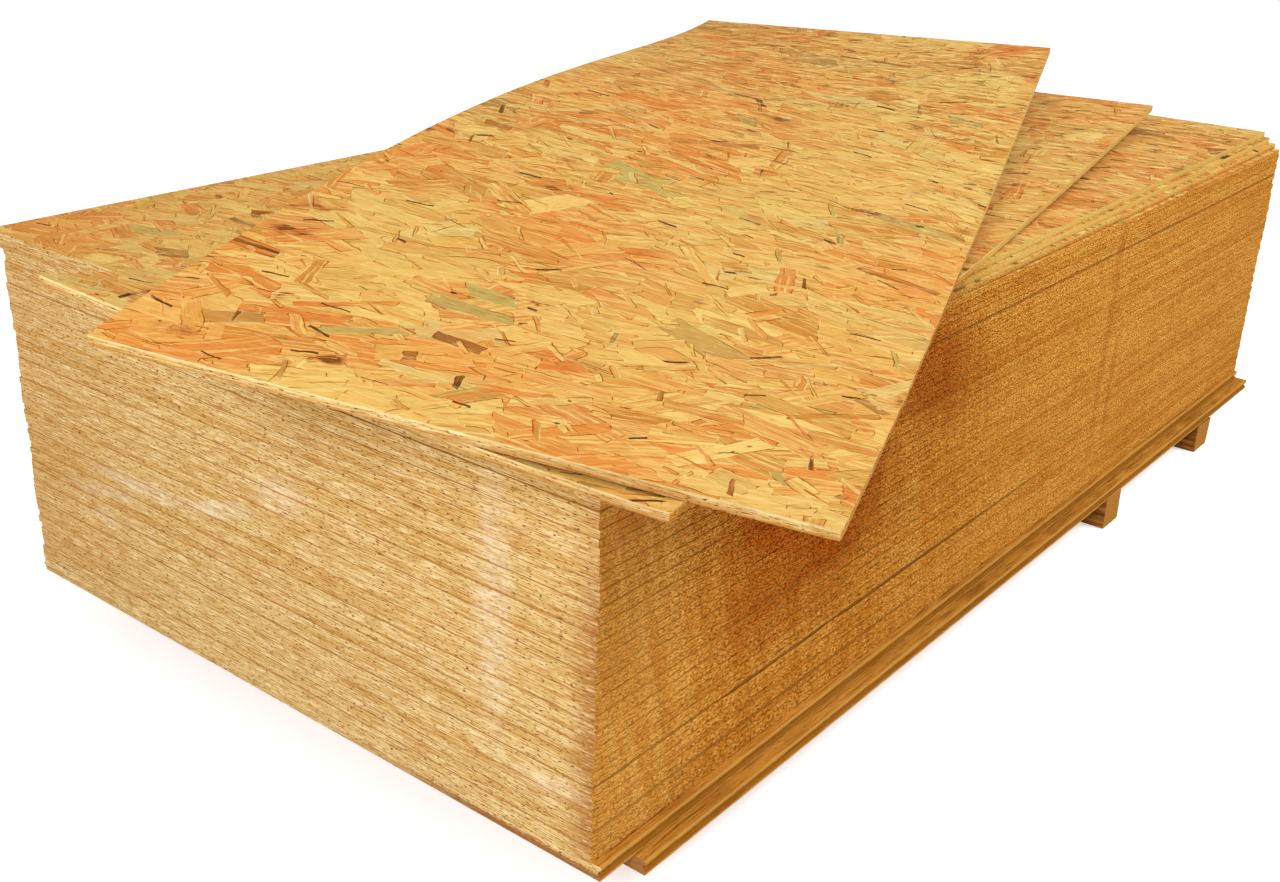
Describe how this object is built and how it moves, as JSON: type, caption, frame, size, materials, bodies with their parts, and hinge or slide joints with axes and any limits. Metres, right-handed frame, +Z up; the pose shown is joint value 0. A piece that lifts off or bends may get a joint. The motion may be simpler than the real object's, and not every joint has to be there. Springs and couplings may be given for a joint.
{
  "type": "stack of osb panels",
  "caption": "Square stack of full-size strand board sheets on timber bearers, with two carrier boards below and two loose sheets lying askew on top.",
  "frame": {"origin": "centre of the overall footprint, loose sheets included, at floor level under the bearers", "axes": "+X along the panels' length, +Y across their width, +Z up; the front end of the stack, where the loose sheets hang over, is at -X"},
  "size_m": [2.7846, 1.6238, 0.8561],
  "materials": {
    "osb_panel": "sawn edges, pressed strand faces",
    "osb_loose": "pressed strand faces",
    "carrier_board": "rough, weathered",
    "timber": "sawn"
  },
  "bodies": {
    "root": {"bearer_front_outer": "timber", "bearer_front_inner": "timber", "bearer_back_inner": "timber", "bearer_back_outer": "timber", "carrier_board_lower": "carrier_board", "carrier_board_upper": "carrier_board", "panel_01": "osb_panel", "panel_02": "osb_panel", "panel_03": "osb_panel", "panel_04": "osb_panel", "panel_05": "osb_panel", "panel_06": "osb_panel", "panel_07": "osb_panel", "panel_08": "osb_panel", "panel_09": "osb_panel", "panel_10": "osb_panel", "panel_11": "osb_panel", "panel_12": "osb_panel", "panel_13": "osb_panel", "panel_14": "osb_panel", "panel_15": "osb_panel", "panel_16": "osb_panel", "panel_17": "osb_panel", "panel_18": "osb_panel", "panel_19": "osb_panel", "panel_20": "osb_panel", "panel_21": "osb_panel", "panel_22": "osb_panel", "panel_23": "osb_panel", "panel_24": "osb_panel", "panel_25": "osb_panel", "panel_26": "osb_panel", "panel_27": "osb_panel", "panel_28": "osb_panel", "panel_29": "osb_panel", "panel_30": "osb_panel", "panel_31": "osb_panel", "panel_32": "osb_panel", "panel_33": "osb_panel", "panel_34": "osb_panel", "panel_35": "osb_panel", "panel_36": "osb_panel", "panel_37": "osb_panel", "panel_38": "osb_panel", "panel_39": "osb_panel", "panel_40": "osb_panel", "panel_41": "osb_panel", "panel_42": "osb_panel", "panel_43": "osb_panel", "panel_44": "osb_panel", "panel_45": "osb_panel", "panel_46": "osb_panel", "panel_47": "osb_panel", "panel_48": "osb_panel", "panel_49": "osb_panel", "panel_50": "osb_panel", "panel_51": "osb_panel", "loose_sheet_lower": "osb_loose", "loose_sheet_upper": "osb_loose"}
  },
  "joints": []
}
